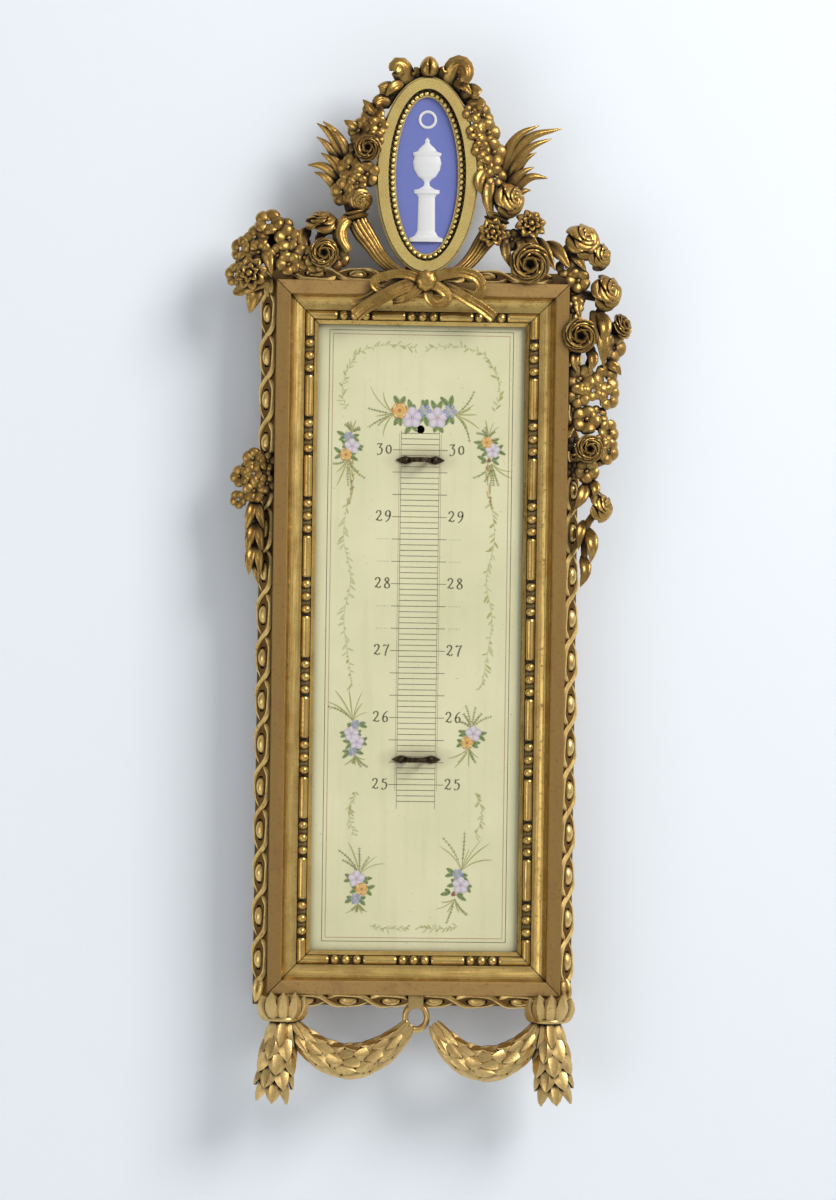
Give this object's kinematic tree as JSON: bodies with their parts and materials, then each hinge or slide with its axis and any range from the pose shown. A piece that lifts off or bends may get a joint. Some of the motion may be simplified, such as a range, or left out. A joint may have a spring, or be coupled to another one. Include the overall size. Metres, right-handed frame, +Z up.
{
  "type": "wall barometer",
  "caption": "Giltwood wall barometer case with a painted scale plate, tube clips, cameo medallion, carved flowers, laurel swags and a swinging hanging ring",
  "frame": {"origin": "on the wall plane, behind the centre of the rectangular case", "axes": "+Z up, front faces -Y, +X to the viewer's right"},
  "size_m": [0.1657, 0.0395, 0.4223],
  "materials": {
    "gilt_carving": "water-gilt carved wood with brown bole showing in the hollows",
    "gilt_moulding": "burnished gold leaf on turned and planed wood, rubbed on the flats",
    "gilt_edge": "gold leaf over red-brown bole, worn",
    "bare_wood": "bare, darkened softwood",
    "painted_plate": "cream oil paint on a thin panel, with painted sprays and a scale, satin varnish",
    "iron": "hand-forged nails, dark",
    "bronze": "dark, tarnished strap metal",
    "brass": "dull old brass",
    "blue_ceramic": "matt coloured stoneware",
    "white_ceramic": "matt white stoneware"
  },
  "bodies": {
    "case": {"back_board": "bare_wood", "case_side_left": "gilt_edge", "case_side_right": "gilt_edge", "case_top": "gilt_edge", "case_bottom": "gilt_edge", "rail_left": "gilt_moulding", "rail_right": "gilt_moulding", "rail_top": "gilt_moulding", "rail_bottom": "gilt_moulding", "scale_plate": "painted_plate", "plate_brads": "iron", "back_nails": "iron", "upper_tube_clip": "bronze", "lower_tube_clip": "bronze", "clip_pins": "bronze", "hanger_plate": "brass", "hanger_screws": "brass", "medallion_back": "bare_wood", "medallion_frame": "gilt_moulding", "medallion_plaque": "blue_ceramic", "medallion_relief": "white_ceramic", "medallion_beads": "gilt_moulding", "horn_left": "gilt_carving", "horn_right": "gilt_carving", "ribbon_bow": "gilt_carving", "crest_leaves": "gilt_carving", "medallion_garland_left": "gilt_carving", "medallion_garland_right": "gilt_carving", "palm_left": "gilt_carving", "palm_right": "gilt_carving", "corner_flowers_left": "gilt_carving", "rose_spray_right": "gilt_carving", "garland_right_upper": "gilt_carving", "garland_right_lower": "gilt_carving", "flower_drop_left": "gilt_carving", "leaf_cup_left": "gilt_carving", "leaf_cup_right": "gilt_carving", "leaf_pendant_left": "gilt_carving", "leaf_pendant_right": "gilt_carving", "laurel_swag_left": "gilt_carving", "laurel_swag_right": "gilt_carving", "swag_ring": "gilt_carving"},
    "ring": {"hanging_ring": "brass"}
  },
  "joints": [
    {"name": "ring_hinge", "type": "hinge", "parent": "case", "child": "ring", "pos_m": [0, -0.0032, 0.096], "axis": [1, 0, 0], "range_deg": [0, 180]}
  ]
}
